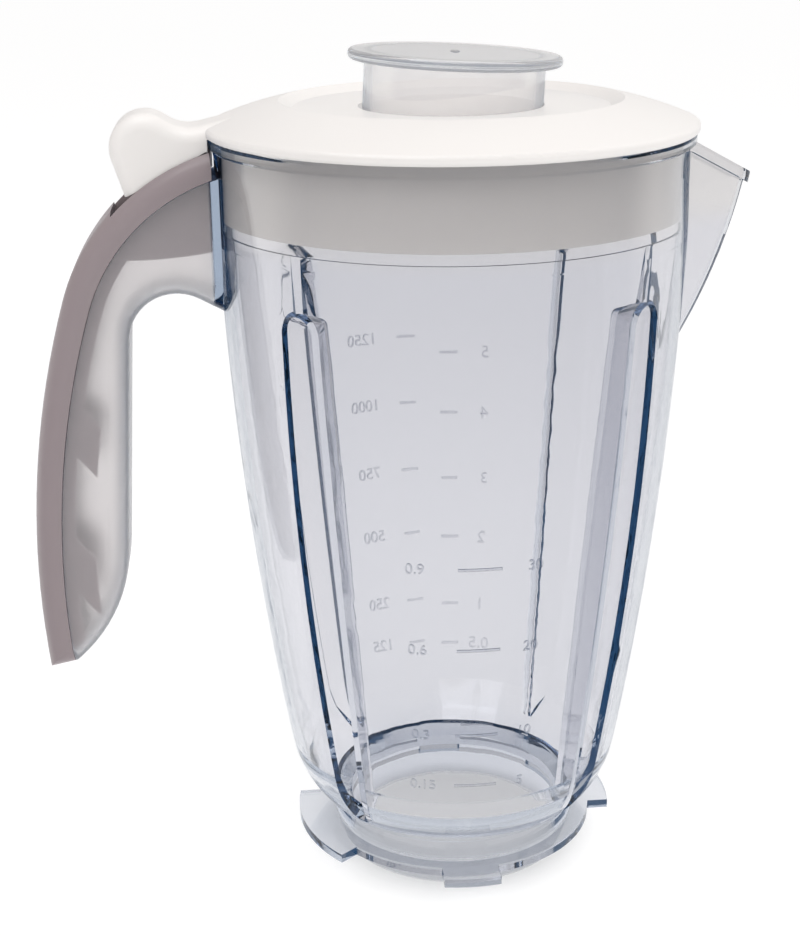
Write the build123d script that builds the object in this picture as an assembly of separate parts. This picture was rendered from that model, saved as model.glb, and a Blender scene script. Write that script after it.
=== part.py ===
from build123d import *
import os
from math import radians, sin

# Blender jar with a snapped-on handle cover, a lid and a measuring cap, in millimetres.
# +Z is up, and the origin is on the jar's axis at the underside of its foot.
# The handle points along -X and the spout along +X. Reach is a distance from the axis.
# Out is measured from the bowl's top or rim outwards, drop below the rim and rise above it.

# Bowl: outside radii, and heights above the foot's underside
belly_radius = 52.5
belly_height = 37.0
side_bow = 2.9
top_radius = 69.2
top_drop = 29.5
rim_bead = 1.6
rim_height = 3.5
rim_bevel = 0.9
jar_height = 229.5
wall = 2.7

# Foot: its bore, the neck above it, and the floor that slopes up to the belly
bore_radius = 34.0
bore_height = 15.0
foot_wall = 2.7
foot_flare = 2.3
neck_height = 17.0
shoulder_width = 2.0
throat_wall = 2.4
throat_rise = 1.5
floor_inset = 5.1
floor_drop = 6.5

# Seat for the lid's skirt inside the rim
ledge_drop = 26.1
seat_wall = 1.9

# Foot flange, its bayonet lugs, and the wings beside two of them
flange_bottom = 7.2
flange_thickness = 2.8
flange_width = 5.5
lug_length = 6.5
lug_width = 17.5
lug_count = 4
wing_angle = 40.0

# Ribs: inward folds of the side, fluted outside, between the handle and the spout
rib_count = 4
rib_angle = 45.0
flute_gap = 10.0
flute_run_out = 3.0
flute_width = 16.0
flute_depth = 8.0
flute_draft_angle = 28.0
rib_wall = 2.4
rib_neck_width = 3.4
rib_neck_depth = 3.0

# Spout: a V-shaped beak whose keel rises from the side to the tip
spout_root_drop = 68.5
spout_tip_out = 21.0
spout_tip_drop = 15.0
spout_bow = 2.6
spout_half_angle = 42.0
spout_wall = 2.4
spout_nose = 4.5
spout_lip = 1.5
spout_lip_height = 3.6
spout_ledge = 0.6

# Handle: hangs from the jar's top, with an open outer side that the cover closes
handle_width = 27.0
handle_wall = 2.4
handle_round = 6.0
handle_end_out = 57.3
handle_end_drop = 160.7
handle_end_width = 8.5
handle_belly_out = 57.4
handle_belly_drop = 103.5
handle_bend_out = 45.3
handle_bend_drop = 45.5
handle_root_out = 0.3
handle_root_drop = 2.5
grip_end_drop = 159.0
grip_low_out = 31.1
grip_low_drop = 124.5
grip_top_out = 26.7
grip_top_drop = 57.5
web_out = 5.8
web_drop = 46.1

# Handle cover: its depth from the outer side, its cheeks at the top and the fins that snap in
cover_depth = 8.0
cover_clearance = 0.25
cover_lip = 1.6
cover_lip_depth = 4.0
cheek_drop = 33.5
cheek_sag = 2.0
snap_depth = 10.0
snap_width = 11.0
snap_slope_angle = 52.0
snap_drops = (76.0, 123.0)

# Lid
lid_clearance = 0.35
lid_wall = 2.0
skirt_gap = 3.1
brim_overhang = 0.8
brim_edge = 2.6
brim_round = 1.2
crest_radius = 50.0
crest_rise = 9.2
crest_width = 4.0
band_fullness = 0.6
dish_depth = 2.2

# Lid's thumb tab, which drops into a slot in the cover
tab_width = 20.0
tab_clearance = 0.5
tab_round = 4.0
tab_wall = 2.2
tab_sink = 1.4
saddle_out = 2.2
saddle_rise = 3.5
knob_start_out = 11.7
knob_start_rise = 5.5
knob_out = 27.2
knob_drop = 5.5
tab_tip_drop = 16.0
tab_heel_drop = 3.5

# Measuring cap: rests on a ledge in the lid's collar, leaning a little towards the spout
cap_radius = 26.2
cap_wall = 2.0
cap_disc_overhang = 4.8
cap_disc = 3.0
cap_disc_round = 1.3
cap_height = 24.2
cap_seat_drop = 3.5
cap_ledge = 2.6
cap_clearance = 0.3
cap_lean_angle = 3.0

# Radii and reaches that follow from the sizes above
foot_radius = bore_radius + foot_wall
neck_radius = foot_radius + foot_flare
shoulder_radius = neck_radius + shoulder_width
flange_radius = neck_radius + flange_width
lug_radius = flange_radius + lug_length
seat_radius = top_radius - seat_wall
rim_radius = top_radius + rim_bead
brim_radius = rim_radius + brim_overhang
spout_tip_reach = top_radius + spout_tip_out
knob_reach = rim_radius + knob_out
web_reach = top_radius + web_out

# Heights that follow from the sizes above
top_height = jar_height - top_drop
ledge_height = jar_height - ledge_drop
rim_bottom = jar_height - rim_height
flute_top = top_height - flute_gap
spout_tip_height = jar_height - spout_tip_drop
handle_root_height = jar_height - handle_root_drop
crest_height = jar_height + crest_rise
dish_height = crest_height - dish_depth
tab_tip_height = jar_height - tab_tip_drop
cap_seat = jar_height - cap_seat_drop

# The side's chord, from the belly to the top, and the collar that clears the leaning cap
chord_rise = (top_radius - belly_radius) / (top_height - belly_height)
chord_start = belly_radius - belly_height * chord_rise
collar_radius = cap_radius + cap_clearance + (dish_height - cap_seat) * sin(radians(cap_lean_angle))

# Two places nearer than this are the same place
same = 0.01


def outline(*lines):
    """Flat face bounded by lines, with the points of an upright section as (reach, height)."""
    return make_face([edge for line in lines for edge in line.edges()])


def turned(section):
    """Solid of revolution about the jar's axis."""
    return revolve(Plane.XZ * section, Axis.Z)


def slab(section, width):
    """Upright section made width thick, evenly to both sides of the XZ plane."""
    return extrude(Plane.XZ * section, width / 2, both=True)


def side_arc(inset):
    """Bowed side of the bowl, inset from its outside."""
    low = (belly_radius - inset, belly_height)
    high = (top_radius - inset, top_height)
    middle = ((low[0] + high[0]) / 2 + side_bow, (low[1] + high[1]) / 2)
    return ThreePointArc(low, middle, high)


def bowl_outside():
    """The bowl filled in, from the foot to the rim."""
    side = side_arc(0)
    belly = TangentArc((belly_radius, belly_height), (shoulder_radius, neck_height), tangent=-(side % 0))
    rest = Polyline(
        (shoulder_radius, neck_height), (neck_radius, neck_height), (neck_radius, flange_bottom),
        (foot_radius, 0), (0, 0), (0, jar_height), (rim_radius, jar_height), (rim_radius, rim_bottom),
        (top_radius, rim_bottom), (top_radius, top_height),
    )
    section = outline(side, belly, rest)
    corners = section.vertices().filter_by(lambda v: abs(v.X - rim_radius) < same)
    return turned(chamfer(corners, rim_bevel))


def bowl_inside():
    """The hollow of the bowl, from the open foot to the open top."""
    rest = Polyline(
        (belly_radius - wall, belly_height), (belly_radius - floor_inset, belly_height - floor_drop),
        (neck_radius - throat_wall, neck_height + throat_rise), (bore_radius, bore_height), (bore_radius, 0),
        (0, 0), (0, jar_height), (seat_radius, jar_height), (seat_radius, ledge_height),
        (top_radius - wall, ledge_height), (top_radius - wall, top_height),
    )
    return turned(outline(side_arc(wall), rest))


def foot_ring():
    """Flange with its bayonet lugs, and a wing beside the lugs under the handle and the spout."""
    ring = Circle(flange_radius)
    lug = Rectangle(lug_radius, lug_width, align=(Align.MIN, Align.CENTER)) & Circle(lug_radius)
    wing_arc = CenterArc((0, 0), lug_radius, 0, wing_angle)
    wing = outline(wing_arc, Line((0, 0), wing_arc @ 0), Line((0, 0), wing_arc @ 1))
    for i in range(lug_count):
        ring += Rot(0, 0, 360 / lug_count * i) * lug
    for turn in (0, 180):
        ring += Rot(0, 0, turn) * wing
    return extrude(Pos(0, 0, flange_bottom) * ring, flange_thickness)


def flute_outline(grow):
    """Outline of a flute on the bowl's side, with a round top, larger by grow all round."""
    half = flute_width / 2 + grow
    spring = flute_top - flute_width / 2
    bottom = neck_height - flute_run_out
    sides = Polyline((-half, spring), (-half, bottom), (half, bottom), (half, spring))
    return outline(sides, ThreePointArc((-half, spring), (0, spring + half), (half, spring)))


def flute_prism(grow, depth):
    """Tapered prism at X > 0, from outside the bowl to depth inside the chord of its side."""
    clear = side_bow + wall
    skin = Plane((chord_start + clear, 0, 0), x_dir=(0, 1, 0), z_dir=(1, 0, -chord_rise))
    return extrude(skin * flute_outline(grow), -(clear + depth), taper=flute_draft_angle)


def around_ribs(shape):
    """Copies of a shape at X > 0, turned to the place of each rib."""
    return [Rot(0, 0, rib_angle + 360 / rib_count * i) * shape for i in range(rib_count)]


def rib():
    """An inward fold before its flute is cut, with a narrow neck up to the ledge."""
    fold = flute_prism(rib_wall, flute_depth + rib_wall)
    bottom = flute_top - flute_width / 2
    inner = top_radius - wall - rib_neck_depth
    middle = top_radius - wall / 2
    neck_section = outline(Polyline(
        (inner, bottom), (middle, bottom), (middle, ledge_height),
        (inner + rib_neck_depth, ledge_height), (inner, bottom),
    ))
    return fold + slab(neck_section, rib_neck_width)


def spout_beak(inset, top):
    """V-shaped beak, inset square to its walls, from its root to the height top."""
    back = inset / sin(radians(spout_half_angle))
    root = (top_radius - back, jar_height - spout_root_drop)
    tip = (spout_tip_reach - back, spout_tip_height)
    middle = ((root[0] + tip[0]) / 2 + spout_bow, (root[1] + tip[1]) / 2)
    rest = Polyline(tip, (tip[0], top), (bore_radius, top), (bore_radius, root[1]), root)
    section = Plane.XZ * outline(ThreePointArc(root, middle, tip), rest)
    length = spout_tip_reach - bore_radius
    beak = Part()
    for turn in (-spout_half_angle, spout_half_angle):
        beak += extrude(section, length, dir=Vector(-1, 0, 0).rotate(Axis.Z, turn))
    nose = beak.edges().filter_by(lambda e: abs(e.center().Y) < same and e.center().X > root[0])
    return fillet(nose, spout_nose - inset)


def above_lip(drop):
    """The space above the spout's sloping lip, lowered by drop."""
    fall = (rim_bottom - spout_tip_height) / spout_tip_out
    start = rim_bottom + fall * top_radius - drop
    far = 2 * spout_tip_reach
    over = 2 * jar_height
    section = outline(Polyline((0, start), (far, start - fall * far), (far, over), (0, over), (0, start)))
    return slab(section, 2 * far)


def spout_outside():
    """The beak with its thicker lip, cut along the slope of the lip."""
    lip = spout_beak(-spout_lip, jar_height) & above_lip(spout_lip_height)
    return spout_beak(0, jar_height) + lip - above_lip(0)


def spout_inside():
    """The beak's hollow, with the bowl's ledge carried down along it."""
    top = jar_height + rim_height
    above_ledge = spout_beak(spout_wall - spout_ledge, top) & above_lip(rim_bottom - ledge_height)
    return spout_beak(spout_wall, top) + above_ledge


def handle_point(out, drop):
    """Point of the handle's side outline, out from the bowl and down from the rim."""
    return (-top_radius - out, jar_height - drop)


def handle_edge():
    """Outer edge of the handle, from its free end up to the jar."""
    end = handle_point(handle_end_out, handle_end_drop)
    bend = handle_point(handle_bend_out, handle_bend_drop)
    long_arc = ThreePointArc(end, handle_point(handle_belly_out, handle_belly_drop), bend)
    root = handle_point(handle_root_out, handle_root_drop)
    return long_arc, TangentArc(bend, root, tangent=long_arc % 1)


def handle_section():
    """Side outline of the handle with its cover on, from inside the jar's wall outwards."""
    long_arc, bend_arc = handle_edge()
    root_reach = top_radius - wall / 2
    grip = Line(handle_point(grip_low_out, grip_low_drop), handle_point(grip_top_out, grip_top_drop))
    grip_end = handle_point(handle_end_out - handle_end_width, grip_end_drop)
    end_arc = TangentArc(grip @ 0, grip_end, tangent=-(grip % 0))
    web_arc = TangentArc(grip @ 1, handle_point(web_out, web_drop), tangent=grip % 1)
    web_run = (web_reach - root_reach) / (web_arc % 1).X
    root = web_arc @ 1 + (web_arc % 1) * web_run
    closing = Polyline(root, (-root_reach, handle_root_height), bend_arc @ 1)
    return outline(
        long_arc, bend_arc, grip, end_arc, web_arc, Line(web_arc @ 1, root), closing,
        Line(end_arc @ 1, long_arc @ 0),
    )


def handle_band(depth):
    """Band along the outer edge of the handle, depth wide inwards and as wide outwards."""
    return outline(trace(handle_edge(), 2 * depth))


def handle_core(section, inset):
    """The handle filled in, inset from its outside."""
    inner = offset(section, -inset) if inset else section
    return slab(inner, handle_width - 2 * inset)


def handle_form(section, inset):
    """The handle filled in and rounded along its edges, inset from its outside."""
    form = handle_core(section, inset)
    side = handle_width / 2 - inset
    long_edges = form.edges().filter_by(
        lambda e: abs(abs(e.center().Y) - side) < same and e.center().X < -web_reach
    )
    return fillet(long_edges, handle_round - inset)


def handle_channel(section):
    """The clear half of the handle: a channel, open on its outer side."""
    outer_side = slab(handle_band(cover_depth + cover_clearance), 2 * handle_width)
    return handle_form(section, 0) - outer_side - handle_form(section, handle_wall)


def cover_insert():
    """Side zones of the cover inside the channel: lips all along, cheeks at the top and snap fins."""
    zones = handle_band(cover_depth + cover_lip_depth)
    high = 2 * jar_height
    low = jar_height - cheek_drop
    far = -top_radius - handle_bend_out
    ends = low + cheek_sag
    cheek_arc = ThreePointArc((far, ends), (far / 2 - top_radius / 2, low), (-top_radius, ends))
    cheek_top = Polyline(cheek_arc @ 1, (-top_radius, high), (far, high), cheek_arc @ 0)
    zones += outline(cheek_arc, cheek_top)
    for drop in snap_drops:
        place = Pos(-top_radius - handle_belly_out + cover_depth, jar_height - drop)
        fin = place * Rot(0, 0, -snap_slope_angle) * Rectangle(handle_belly_out, snap_width)
        zones += handle_band(cover_depth + snap_depth) & fin
    return zones


def handle_cover(section):
    """The snapped-on half of the handle, with lips inside the channel and a slot for the lid's tab."""
    lip_gap = handle_wall + cover_clearance
    inner_gap = lip_gap + cover_lip
    shell = handle_form(section, 0) & slab(handle_band(cover_depth), 2 * handle_width)
    insert = handle_form(section, lip_gap) & slab(cover_insert(), handle_width)
    slot_end = knob_reach + 2 * tab_clearance
    slot_zone = handle_band(2 * inner_gap) & Pos(-slot_end, 0) * Rectangle(
        slot_end, 2 * jar_height, align=(Align.MIN, Align.CENTER)
    )
    slot = slab(slot_zone, tab_width + 2 * tab_clearance)
    jar_room = Cylinder(rim_radius + cover_clearance, 2 * jar_height)
    return shell + insert - handle_core(section, inner_gap) - slot - jar_room


def lid_tab():
    """Thumb tab in two solids: its outside, and the hollow under it."""
    root = (-crest_radius - crest_width, crest_height - tab_sink)
    slope = Line(root, (-rim_radius - saddle_out, jar_height + saddle_rise))
    knob_start = (-rim_radius - knob_start_out, jar_height + knob_start_rise)
    saddle = TangentArc(slope @ 1, knob_start, tangent=slope % 1)
    knob = TangentArc(knob_start, (-knob_reach, jar_height - knob_drop), tangent=saddle % 1)
    fall = knob % 1
    tip = knob @ 1 + fall * ((tab_tip_height - (knob @ 1).Y) / fall.Y)
    heel = (-rim_radius - tab_clearance, jar_height - tab_heel_drop)
    under = Polyline(knob @ 1, tip, heel, (root[0], heel[1]), root)
    body = slab(outline(slope, saddle, knob, under), tab_width)
    upper = body.edges().filter_by(GeomType.CIRCLE).filter_by(lambda e: abs(e.center().Y) > tab_width / 4)
    core = knob.arc_center
    core_radius = knob.radius - tab_wall
    mouth = core.X + core_radius - tip.X - tab_wall
    drop = core.Y - tab_tip_height + tab_wall
    hollow = Pos(core) * Circle(core_radius) + Pos(core.X + core_radius, core.Y) * Rectangle(
        mouth, drop, align=(Align.MAX, Align.MAX)
    )
    jar_room = Cylinder(-heel[0], jar_height, align=(Align.CENTER, Align.CENTER, Align.MIN))
    return fillet(upper, tab_round) - jar_room, slab(hollow, tab_width - 2 * tab_wall)


def lid():
    """Lid with skirt, brim, raised band, dish, collar with a ledge for the cap, and thumb tab."""
    skirt = seat_radius - lid_clearance
    skirt_bottom = ledge_height + skirt_gap
    brim_top = jar_height + brim_edge
    dish_radius = crest_radius - crest_width
    ledge = collar_radius - cap_clearance - cap_ledge
    band_height = brim_top + band_fullness * (crest_height - brim_top)
    band = ThreePointArc(
        (brim_radius, brim_top), ((brim_radius + crest_radius) / 2, band_height), (crest_radius, crest_height)
    )
    rest = Polyline(
        (crest_radius, crest_height), (dish_radius, dish_height), (collar_radius, dish_height),
        (collar_radius, cap_seat), (ledge, cap_seat), (ledge, cap_seat - lid_wall),
        (collar_radius + lid_wall, cap_seat - lid_wall), (collar_radius + lid_wall, dish_height - lid_wall),
        (dish_radius, dish_height - lid_wall), (crest_radius, crest_height - lid_wall),
        (skirt - lid_wall, jar_height), (skirt - lid_wall, skirt_bottom), (skirt, skirt_bottom),
        (skirt, jar_height), (brim_radius, jar_height), (brim_radius, brim_top),
    )
    section = outline(band, rest)
    corners = section.vertices().filter_by(lambda v: abs(v.X - brim_radius) < same)
    tab, tab_hollow = lid_tab()
    return turned(fillet(corners, brim_round)) + tab - tab_hollow


def measuring_cap():
    """Cup with a wide flat top, open below, leaning on the lid's ledge on the spout's side."""
    disc_radius = cap_radius + cap_disc_overhang
    disc_bottom = cap_height - cap_disc
    section = outline(Polyline(
        (0, cap_height), (disc_radius, cap_height), (disc_radius, disc_bottom), (cap_radius, disc_bottom),
        (cap_radius, 0), (cap_radius - cap_wall, 0), (cap_radius - cap_wall, disc_bottom), (0, disc_bottom),
        (0, cap_height),
    ))
    corners = section.vertices().filter_by(lambda v: abs(v.X - disc_radius) < same)
    cap = turned(fillet(corners, cap_disc_round))
    return Pos(cap_radius, 0, cap_seat) * Rot(0, cap_lean_angle, 0) * Pos(-cap_radius, 0, 0) * cap


def jar(section):
    """The clear moulding: bowl, ribs, spout, handle channel and foot."""
    bowl = bowl_outside()
    body = bowl + spout_outside() + handle_channel(section) + foot_ring()
    body -= bowl_inside()
    body -= spout_inside()
    for fold in around_ribs(rib() & bowl):
        body += fold
    for flute in around_ribs(flute_prism(0, flute_depth)):
        body -= flute
    return body


handle = handle_section()
pieces = {
    "jar": jar(handle),
    "handle_cover": handle_cover(handle),
    "lid": lid(),
    "measuring_cap": measuring_cap(),
}
os.makedirs("parts", exist_ok=True)
for name, piece in pieces.items():
    export_step(piece, f"parts/{name}.step")
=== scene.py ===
"""A clear jar with its lid, cap and handle cover: finishes, raised scale, studio and camera, in metres."""

import math

import bpy
from mathutils import Matrix, Vector
from mathutils.bvhtree import BVHTree

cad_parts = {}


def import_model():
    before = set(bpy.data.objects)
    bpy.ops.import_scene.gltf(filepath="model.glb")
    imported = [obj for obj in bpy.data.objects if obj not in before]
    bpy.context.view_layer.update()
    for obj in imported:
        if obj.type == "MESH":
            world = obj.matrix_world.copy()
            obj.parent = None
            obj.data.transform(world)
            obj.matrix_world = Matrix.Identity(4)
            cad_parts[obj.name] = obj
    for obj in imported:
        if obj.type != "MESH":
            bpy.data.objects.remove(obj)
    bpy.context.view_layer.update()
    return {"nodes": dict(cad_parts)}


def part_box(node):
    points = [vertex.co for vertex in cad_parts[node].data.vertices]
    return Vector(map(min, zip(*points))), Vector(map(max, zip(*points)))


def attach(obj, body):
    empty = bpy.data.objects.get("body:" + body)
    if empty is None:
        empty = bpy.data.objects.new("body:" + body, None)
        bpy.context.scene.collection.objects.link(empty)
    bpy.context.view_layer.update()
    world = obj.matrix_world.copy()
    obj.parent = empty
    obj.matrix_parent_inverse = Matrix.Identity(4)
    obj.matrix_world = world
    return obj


# Camera, as the photograph was taken: the jar stands turned a little towards its handle.
EYE_DISTANCE = 0.500
EYE_HEIGHT = 0.2975
PITCH_DOWN = math.radians(19.01)
YAW = math.radians(-1.855)
ROLL = math.radians(-0.754)
JAR_TURN = math.radians(7.0)
LENS_MM = 65.385
SENSOR_MM = 36.0

# Studio: a lit pale floor with a painted shadow under the jar, one softbox, and a painted dark blue
# reflection at the front that only mirrored light shows.
FLOOR_HALF = 30.0
FLOOR_GLOW = 0.72
# Painted shadow under the jar's foot: the floor's glow falls to a lower glow within these distances of the
# jar's axis.
FLOOR_PAINTED_SHADOW = (0.052, 0.030)
FLOOR_PAINTED_SHADOW_GLOW = 0.36
FLOOR_COLOUR = (0.42, 0.42, 0.42, 1.0)
WORLD_LEFT = (0.34, 0.325, 0.325, 1.0)
WORLD_RIGHT = (0.90, 0.895, 0.89, 1.0)
# Painted dark blue reflection: the colour that the floor and the world show in mirror images.
PAINTED_REFLECTION_COLOUR = (0.035, 0.090, 0.170, 1.0)
PAINTED_REFLECTION_FRONT = (0.25, -0.25)
PAINTED_REFLECTION_START = (0.03, 0.14)
SOFTBOX_SIZE = 1.0
SOFTBOX_PLACE = (-0.22, -0.38, 1.35)
SOFTBOX_POWER = 7.5

# Paths of light: as long as it takes for light that is caught in a rib to come out again.
MOST_BOUNCES = 34
CLEAR_BOUNCES = 20
MIRROR_BOUNCES = 28

# Clear plastic of the jar and of the cap. Roughness has two ends, and a wave is a height in metres.
PLASTIC_IOR = 1.57
ABSORPTION = 8.0
JAR_ROUGHNESS = (0.01, 0.03)
JAR_ABSORBED = (0.45, 0.62, 0.85, 1.0)
JAR_WAVE = 0.00002
CAP_COLOUR = (0.97, 0.955, 0.95, 1.0)
CAP_TRANSMISSION = 0.78
CAP_ROUGHNESS = (0.04, 0.08)
CAP_ABSORBED = (0.60, 0.65, 0.70, 1.0)
CAP_WAVE = 0.00001

# Solid plastic of the lid and of the handle's cover: two ends of its colour and of its roughness.
LID_COLOURS = ((0.88, 0.85, 0.825, 1.0), (0.92, 0.89, 0.865, 1.0))
LID_ROUGHNESS = (0.32, 0.42)
LID_DEPTH = 0.002
COVER_COLOURS = ((0.31, 0.26, 0.268, 1.0), (0.36, 0.30, 0.31, 1.0))
COVER_ROUGHNESS = (0.28, 0.38)
COVER_DEPTH = 0.001
SKIN_SHARE = 0.25
SPARK_HEIGHT = 0.000012

# Handle: a blue band at its root, then the frosted half. Each has where it starts and is full.
ROOT_X = (-0.0668, -0.0678)
ROOT_COLOUR = (0.42, 0.48, 0.57, 1.0)
FROST_X = (-0.0700, -0.0712)
FROST_ROUGHNESS = 0.36
FROST_TRANSMISSION = 0.92
FROST_COLOUR = (0.87, 0.845, 0.84, 1.0)

# Tint of the clear wall by height, partly the plastic's own tint and partly painted shade: the thick foot,
# bluish and darker as painted shade under the jar; the bowl's two ends, darker towards the top as painted
# shade; and the rim, darker as painted shade on the lid's skirt seen through it.
TINT_AND_SHADE_HEIGHT = 0.230
TINT_AND_PAINTED_SHADE_STOPS = [(0.010, (0.76, 0.775, 0.815, 1.0)), (0.024, (0.93, 0.925, 0.94, 1.0)),
              (0.190, (0.835, 0.83, 0.85, 1.0)), (0.200, (0.835, 0.83, 0.85, 1.0)),
              (0.206, (0.85, 0.835, 0.83, 1.0))]

# Raised scale on the wall. A column has an angle round the jar in degrees, and its marks have heights.
MARK_GAP = 0.00002
MARK_LIFT = 0.00030
DASH_THICKNESS = 0.0008
BACK_DIGIT = 0.0056
FRONT_DIGIT = 0.0046
BACK_DASH = 0.0066
FRONT_DASH = 0.0125
MILLILITRES = {"1250": 0.151, "1000": 0.128, "750": 0.1045, "500": 0.082, "250": 0.058, "125": 0.043}
CUPS = {"5": 0.145, "4": 0.124, "3": 0.101, "2": 0.080, "1": 0.056, "0.5": 0.042}
OUNCES = {"30": 0.117, "20": 0.091, "10": 0.062, "5": 0.044}
LITRES = {"0.9": 0.117, "0.6": 0.091, "0.3": 0.062, "0.15": 0.044}
DIGIT_COLUMNS = [(111.0, BACK_DIGIT, MILLILITRES), (73.0, BACK_DIGIT, CUPS),
                 (284.5, FRONT_DIGIT, OUNCES), (253.5, FRONT_DIGIT, LITRES)]
DASH_COLUMNS = [(97.0, BACK_DASH, MILLILITRES), (84.0, BACK_DASH, CUPS), (270.0, FRONT_DASH, OUNCES)]

# Gate mark in the middle of the cap's top: (radius, rise) from its middle outwards.
GATE_PROFILE = [(0.0, 0.00045), (0.0006, 0.00042), (0.0011, 0.00030), (0.0014, 0.00010), (0.0016, -0.00005)]
GATE_SIDES = 28


def shader(name):
    """A new node material: its node tree, its surface shader and its output."""
    material = bpy.data.materials.new(name)
    material.use_nodes = True
    tree = material.node_tree
    return material, tree, tree.nodes["Principled BSDF"], tree.nodes["Material Output"]


def grain(tree, scale, detail):
    """Noise in the part's own coordinates."""
    place = tree.nodes.new("ShaderNodeTexCoord")
    noise = tree.nodes.new("ShaderNodeTexNoise")
    noise.inputs["Scale"].default_value = scale
    noise.inputs["Detail"].default_value = detail
    tree.links.new(place.outputs["Object"], noise.inputs["Vector"])
    return noise


def bump(tree, surface, noise, height):
    """Lets a noise raise the surface by a height in metres."""
    node = tree.nodes.new("ShaderNodeBump")
    node.inputs["Strength"].default_value = 1.0
    node.inputs["Distance"].default_value = height
    tree.links.new(noise.outputs["Fac"], node.inputs["Height"])
    tree.links.new(node.outputs["Normal"], surface.inputs["Normal"])


def vary(tree, noise, socket, low, high):
    """Lets a noise move a shader value between two ends."""
    node = tree.nodes.new("ShaderNodeMapRange")
    node.inputs["From Min"].default_value = 0.3
    node.inputs["From Max"].default_value = 0.7
    node.inputs["To Min"].default_value = low
    node.inputs["To Max"].default_value = high
    tree.links.new(noise.outputs["Fac"], node.inputs["Value"])
    tree.links.new(node.outputs["Result"], socket)


def blend(tree, share, socket, low, high):
    """Lets a share from 0 to 1 move a colour or a number between two ends. Either end may be a socket."""
    node = tree.nodes.new("ShaderNodeMix")
    node.data_type = "RGBA" if socket.type == "RGBA" else "FLOAT"
    inputs = {i.name: i for i in node.inputs if i.enabled}
    for name, end in (("Factor", share), ("A", low), ("B", high)):
        if isinstance(end, bpy.types.NodeSocket):
            tree.links.new(end, inputs[name])
        else:
            inputs[name].default_value = end
    tree.links.new(next(o for o in node.outputs if o.enabled), socket)


def ramp(tree, value, ends):
    """0 to 1 as a value goes from one end to the other."""
    node = tree.nodes.new("ShaderNodeMapRange")
    node.interpolation_type = "SMOOTHSTEP"
    node.inputs["From Min"].default_value, node.inputs["From Max"].default_value = ends
    tree.links.new(value, node.inputs["Value"])
    return node.outputs["Result"]


def math_node(tree, operation, first, second):
    """A math node on two sockets, or on a socket and a number."""
    node = tree.nodes.new("ShaderNodeMath")
    node.operation = operation
    tree.links.new(first, node.inputs[0])
    if isinstance(second, float):
        node.inputs[1].default_value = second
    else:
        tree.links.new(second, node.inputs[1])
    return node.outputs["Value"]


def direction(tree, kind):
    """X, Y and Z of the direction from the part to a place, and the distance to it."""
    place = tree.nodes.new("ShaderNodeTexCoord")
    unit = tree.nodes.new("ShaderNodeVectorMath")
    unit.operation = "NORMALIZE"
    reach = tree.nodes.new("ShaderNodeVectorMath")
    reach.operation = "LENGTH"
    split = tree.nodes.new("ShaderNodeSeparateXYZ")
    tree.links.new(place.outputs[kind], unit.inputs[0])
    tree.links.new(place.outputs[kind], reach.inputs[0])
    tree.links.new(unit.outputs["Vector"], split.inputs["Vector"])
    return split.outputs, reach.outputs["Value"]


def clear_plastic(name, roughness, absorbed, wave):
    """Clear moulded plastic: it bends light, and thick places take on its colour."""
    material, tree, surface, output = shader(name)
    surface.inputs["IOR"].default_value = PLASTIC_IOR
    vary(tree, grain(tree, 35.0, 2.0), surface.inputs["Roughness"], *roughness)
    bump(tree, surface, grain(tree, 60.0, 1.0), wave)
    inside = tree.nodes.new("ShaderNodeVolumeAbsorption")
    inside.inputs["Color"].default_value = absorbed
    inside.inputs["Density"].default_value = ABSORPTION
    tree.links.new(inside.outputs["Volume"], output.inputs["Volume"])
    return material, tree, surface


def cap_finish():
    """The cap's plastic, with a little haze."""
    material, _, surface = clear_plastic("cap_plastic", CAP_ROUGHNESS, CAP_ABSORBED, CAP_WAVE)
    surface.inputs["Base Color"].default_value = CAP_COLOUR
    surface.inputs["Transmission Weight"].default_value = CAP_TRANSMISSION
    return material


def jar_finish():
    """The jar's plastic, tinted by height partly with painted shade, with the handle's blue root and its
    frost.
    """
    material, tree, surface = clear_plastic("clear_plastic", JAR_ROUGHNESS, JAR_ABSORBED, JAR_WAVE)
    place = tree.nodes.new("ShaderNodeTexCoord")
    split = tree.nodes.new("ShaderNodeSeparateXYZ")
    tree.links.new(place.outputs["Object"], split.inputs["Vector"])
    colour = surface.inputs["Base Color"]
    rough = surface.inputs["Roughness"]
    root = ramp(tree, split.outputs["X"], ROOT_X)
    frost = ramp(tree, split.outputs["X"], FROST_X)
    # Painted shade by height: on top of the plastic's own tint, this darkens the foot, the bowl's top and
    # the rim.
    tint_and_shade = tree.nodes.new("ShaderNodeValToRGB")
    height = math_node(tree, "DIVIDE", split.outputs["Z"], TINT_AND_SHADE_HEIGHT)
    tree.links.new(height, tint_and_shade.inputs["Fac"])
    stops = tint_and_shade.color_ramp.elements
    while len(stops) < len(TINT_AND_PAINTED_SHADE_STOPS):
        stops.new(1.0)
    for stop, (z, tint) in zip(stops, TINT_AND_PAINTED_SHADE_STOPS):
        stop.position = z / TINT_AND_SHADE_HEIGHT
        stop.color = tint
    blend(tree, root, colour, tint_and_shade.outputs["Color"], ROOT_COLOUR)
    blend(tree, frost, colour, colour.links[0].from_socket, FROST_COLOUR)
    blend(tree, frost, rough, rough.links[0].from_socket, FROST_ROUGHNESS)
    blend(tree, frost, surface.inputs["Transmission Weight"], 1.0, FROST_TRANSMISSION)
    return material


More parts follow.
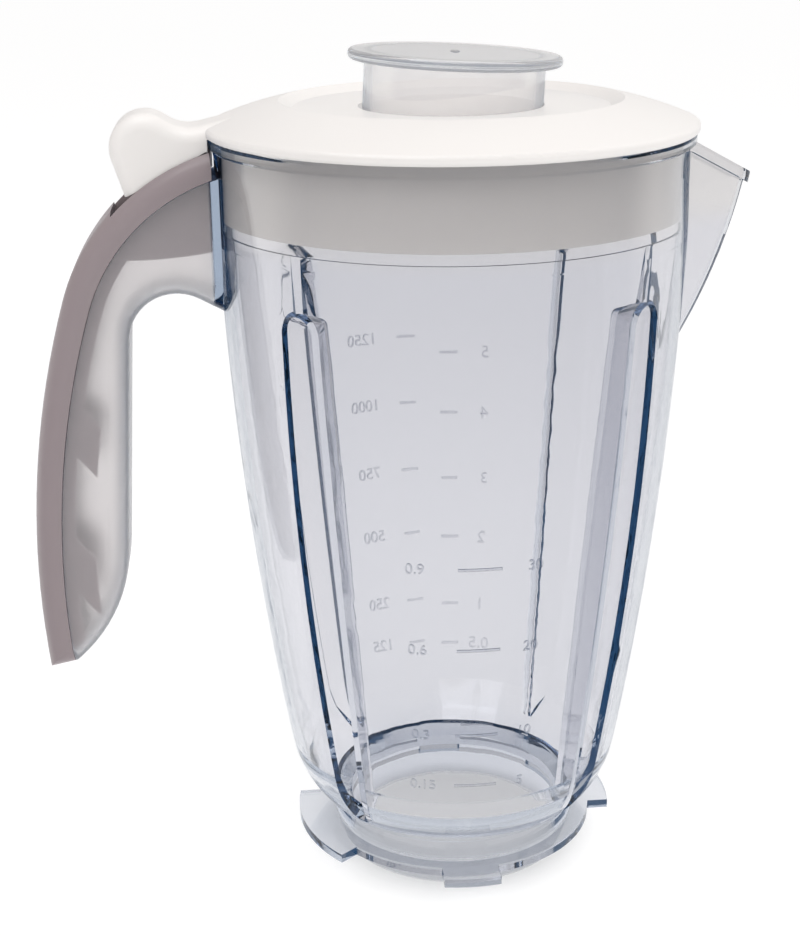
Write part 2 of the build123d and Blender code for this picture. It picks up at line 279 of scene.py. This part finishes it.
def solid_plastic(name, colours, roughness, depth):
    """Coloured moulded plastic with a fine spark-eroded grain and a little light under its skin."""
    material, tree, surface, _ = shader(name)
    blend(tree, grain(tree, 14.0, 3.0).outputs["Fac"], surface.inputs["Base Color"], *colours)
    vary(tree, grain(tree, 40.0, 2.0), surface.inputs["Roughness"], *roughness)
    bump(tree, surface, grain(tree, 2600.0, 2.0), SPARK_HEIGHT)
    surface.inputs["Subsurface Weight"].default_value = SKIN_SHARE
    surface.inputs["Subsurface Radius"].default_value = (depth, depth, depth)
    surface.inputs["Subsurface Scale"].default_value = 1.0
    return material


def in_painted_reflection(tree, kind):
    """1 where far light is replaced by a painted dark blue reflection: mirrored once and coming from the
    front, or mirrored more often.
    """
    depth = tree.nodes.new("ShaderNodeLightPath").outputs["Glossy Depth"]
    once = math_node(tree, "GREATER_THAN", depth, 0.5)
    more = math_node(tree, "GREATER_THAN", depth, 1.5)
    way, reach = direction(tree, kind)
    front = math_node(tree, "MULTIPLY", once, ramp(tree, way["Y"], PAINTED_REFLECTION_FRONT))
    share = math_node(tree, "MAXIMUM", front, more)
    return math_node(tree, "MULTIPLY", share, ramp(tree, reach, PAINTED_REFLECTION_START))


def seen_straight(tree):
    """1 for what is seen straight or through clear walls, and 0 for light on a surface or mirrored."""
    path = tree.nodes.new("ShaderNodeLightPath").outputs
    turns = math_node(tree, "ADD", path["Diffuse Depth"], path["Glossy Depth"])
    return math_node(tree, "LESS_THAN", turns, 0.5)


def floor_finish():
    """Matt and lit from below, with a painted shadow under the jar's foot where its glow is dimmed, and a
    painted dark blue reflection in mirror images.
    """
    material, tree, surface, output = shader("pale_floor")
    surface.inputs["Base Color"].default_value = FLOOR_COLOUR
    surface.inputs["Specular IOR Level"].default_value = 0.0
    surface.inputs["Emission Color"].default_value = (1.0, 1.0, 1.0, 1.0)
    # Painted shadow: the floor's glow is dimmed under the jar's foot.
    shade = ramp(tree, direction(tree, "Object")[1], FLOOR_PAINTED_SHADOW)
    blend(tree, shade, surface.inputs["Emission Strength"], FLOOR_GLOW, FLOOR_PAINTED_SHADOW_GLOW)
    vary(tree, grain(tree, 3.0, 2.0), surface.inputs["Roughness"], 0.8, 1.0)
    # Painted dark blue reflection on the floor, shown only in mirror images.
    painted_reflection = tree.nodes.new("ShaderNodeEmission")
    painted_reflection.inputs["Color"].default_value = PAINTED_REFLECTION_COLOUR
    mix = tree.nodes.new("ShaderNodeMixShader")
    tree.links.new(in_painted_reflection(tree, "Object"), mix.inputs[0])
    tree.links.new(surface.outputs["BSDF"], mix.inputs[1])
    tree.links.new(painted_reflection.outputs["Emission"], mix.inputs[2])
    tree.links.new(mix.outputs["Shader"], output.inputs["Surface"])
    return material


def dress(node, material):
    """Gives a CAD node its finish."""
    frame["nodes"][node].material_slots[0].material = material


def mesh_object(name, points, faces, material):
    """A new object with one mesh and one material."""
    mesh = bpy.data.meshes.new(name)
    mesh.from_pydata(points, [], faces)
    mesh.materials.append(material)
    made = bpy.data.objects.new(name, mesh)
    bpy.context.scene.collection.objects.link(made)
    return made


def floor():
    """The pale floor that the part stands on."""
    h = FLOOR_HALF
    points = [(-h, -h, 0.0), (h, -h, 0.0), (h, h, 0.0), (-h, h, 0.0)]
    mesh_object("floor", points, [(0, 1, 2, 3)], floor_finish())


def world():
    """Light from all round, dimmer on the handle's side, white where it is seen straight, and a painted
    dark blue reflection in mirror images.
    """
    made = bpy.data.worlds.new("studio")
    bpy.context.scene.world = made
    made.use_nodes = True
    tree = made.node_tree
    lit = tree.nodes["Background"]
    way, _ = direction(tree, "Generated")
    colour = lit.inputs["Color"]
    blend(tree, ramp(tree, way["X"], (-1.0, 1.0)), colour, WORLD_LEFT, WORLD_RIGHT)
    blend(tree, seen_straight(tree), colour, colour.links[0].from_socket, (1.0, 1.0, 1.0, 1.0))
    # Painted dark blue reflection of the world, shown only in mirror images.
    painted_reflection = tree.nodes.new("ShaderNodeBackground")
    painted_reflection.inputs["Color"].default_value = PAINTED_REFLECTION_COLOUR
    mix = tree.nodes.new("ShaderNodeMixShader")
    tree.links.new(in_painted_reflection(tree, "Generated"), mix.inputs[0])
    tree.links.new(lit.outputs["Background"], mix.inputs[1])
    tree.links.new(painted_reflection.outputs["Background"], mix.inputs[2])
    tree.links.new(mix.outputs["Shader"], tree.nodes["World Output"].inputs["Surface"])


def softbox():
    """The one lamp, above the front left, aimed at the part."""
    light = bpy.data.lights.new("softbox", "AREA")
    light.shape = "SQUARE"
    light.size = SOFTBOX_SIZE
    light.energy = SOFTBOX_POWER
    made = bpy.data.objects.new("softbox", light)
    place = Vector(SOFTBOX_PLACE)
    made.matrix_world = Matrix.Translation(place) @ place.to_track_quat("Z", "Y").to_matrix().to_4x4()
    bpy.context.scene.collection.objects.link(made)


def camera():
    """The photograph's camera."""
    turn = Matrix.Rotation(-JAR_TURN, 3, "Z")
    c, s = math.cos(YAW), math.sin(YAW)
    cp, sp = math.cos(PITCH_DOWN), math.sin(PITCH_DOWN)
    ahead = Vector((cp * s, cp * c, -sp))
    level, above = Vector((c, -s, 0.0)), Vector((sp * s, sp * c, cp))
    right = math.cos(ROLL) * level + math.sin(ROLL) * above
    up = math.cos(ROLL) * above - math.sin(ROLL) * level
    axes = Matrix((turn @ right, turn @ up, turn @ -ahead)).transposed().to_4x4()
    place = turn @ Vector((0.0, -EYE_DISTANCE, EYE_HEIGHT))
    data = bpy.data.cameras.new("camera")
    data.lens, data.sensor_width = LENS_MM, SENSOR_MM
    data.clip_start = 0.01
    made = bpy.data.objects.new("camera", data)
    made.matrix_world = Matrix.Translation(place) @ axes
    bpy.context.scene.collection.objects.link(made)
    bpy.context.scene.camera = made


def wall_finder(node):
    """A search tree over a CAD node's surface."""
    return BVHTree.FromObject(frame["nodes"][node], bpy.context.evaluated_depsgraph_get())


def on_wall(finder, angle, height):
    """Point and outward normal of the jar's outside at an angle round it and a height."""
    out = Vector((math.cos(angle), math.sin(angle), 0.0))
    point, normal, _, _ = finder.ray_cast(out + Vector((0.0, 0.0, height)), -out)
    return point, normal


def digits(text, size):
    """Flat mesh of a number, centred on the origin."""
    curve = bpy.data.curves.new("digits", "FONT")
    curve.body = text
    curve.size = size
    curve.align_x, curve.align_y = "CENTER", "CENTER"
    holder = bpy.data.objects.new("digits", curve)
    bpy.context.scene.collection.objects.link(holder)
    bpy.context.view_layer.update()
    mesh = bpy.data.meshes.new_from_object(holder.evaluated_get(bpy.context.evaluated_depsgraph_get()))
    bpy.data.objects.remove(holder)
    return [tuple(v.co) for v in mesh.vertices], [tuple(f.vertices) for f in mesh.polygons]


def dash(length):
    """Flat mesh of a scale line in short steps, so that it can follow the wall."""
    steps = 8
    h = DASH_THICKNESS / 2
    points = [(length * (i / steps - 0.5), y, 0.0) for i in range(steps + 1) for y in (-h, h)]
    faces = [(2 * i, 2 * i + 2, 2 * i + 3, 2 * i + 1) for i in range(steps)]
    return points, faces


def scale_marks(material):
    """All the raised numbers and lines, laid on the jar's outside as one thin piece."""
    finder = wall_finder("jar")
    points, faces = [], []

    def lay(flat, angle, height):
        start = len(points)
        reach = on_wall(finder, angle, height)[0].xy.length
        for x, y, _ in flat[0]:
            point, normal = on_wall(finder, angle + x / reach, height + y)
            points.append(point + MARK_GAP * normal)
        faces.extend(tuple(start + i for i in face) for face in flat[1])

    for angle, size, marks in DIGIT_COLUMNS:
        for text, height in marks.items():
            lay(digits(text, size), math.radians(angle), height)
    for angle, length, marks in DASH_COLUMNS:
        for height in marks.values():
            lay(dash(length), math.radians(angle), height)
    made = mesh_object("scale_marks", points, faces, material)
    thick = made.modifiers.new("raised", "SOLIDIFY")
    thick.thickness, thick.offset = MARK_LIFT, 1.0
    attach(made, "root")


def gate_mark(material):
    """The small turned pip that the mould's gate leaves on the cap."""
    low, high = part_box("measuring_cap")
    middle = (low + high) / 2
    above = Vector((middle.x, middle.y, high.z + 0.1))
    point, normal, _, _ = wall_finder("measuring_cap").ray_cast(above, Vector((0.0, 0.0, -1.0)))
    turn = normal.to_track_quat("Z", "Y").to_matrix()
    points, faces = [], []
    for radius, rise in GATE_PROFILE[1:]:
        for i in range(GATE_SIDES):
            a = 2 * math.pi * i / GATE_SIDES
            points.append(point + turn @ Vector((radius * math.cos(a), radius * math.sin(a), rise)))
    for ring in range(len(GATE_PROFILE) - 2):
        for i in range(GATE_SIDES):
            j = (i + 1) % GATE_SIDES
            a, b = ring * GATE_SIDES, (ring + 1) * GATE_SIDES
            faces.append((a + i, b + i, b + j, a + j))
    top = len(points)
    points.append(point + turn @ Vector((0.0, 0.0, GATE_PROFILE[0][1])))
    faces.extend((top, i, (i + 1) % GATE_SIDES) for i in range(GATE_SIDES))
    made = mesh_object("gate_mark", points, faces, material)
    for face in made.data.polygons:
        face.use_smooth = True
    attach(made, "root")


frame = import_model()

clear = jar_finish()
cap = cap_finish()
dress("jar", clear)
dress("measuring_cap", cap)
dress("lid", solid_plastic("lid_plastic", LID_COLOURS, LID_ROUGHNESS, LID_DEPTH))
dress("handle_cover", solid_plastic("cover_plastic", COVER_COLOURS, COVER_ROUGHNESS, COVER_DEPTH))
for node in ("jar", "measuring_cap"):
    frame["nodes"][node].visible_shadow = False
frame["nodes"]["measuring_cap"].visible_diffuse = False
scale_marks(clear)
gate_mark(cap)

floor()
world()
softbox()
camera()

scene = bpy.context.scene
scene.view_settings.view_transform = "Standard"
scene.cycles.max_bounces = MOST_BOUNCES
scene.cycles.transmission_bounces = CLEAR_BOUNCES
scene.cycles.glossy_bounces = MIRROR_BOUNCES
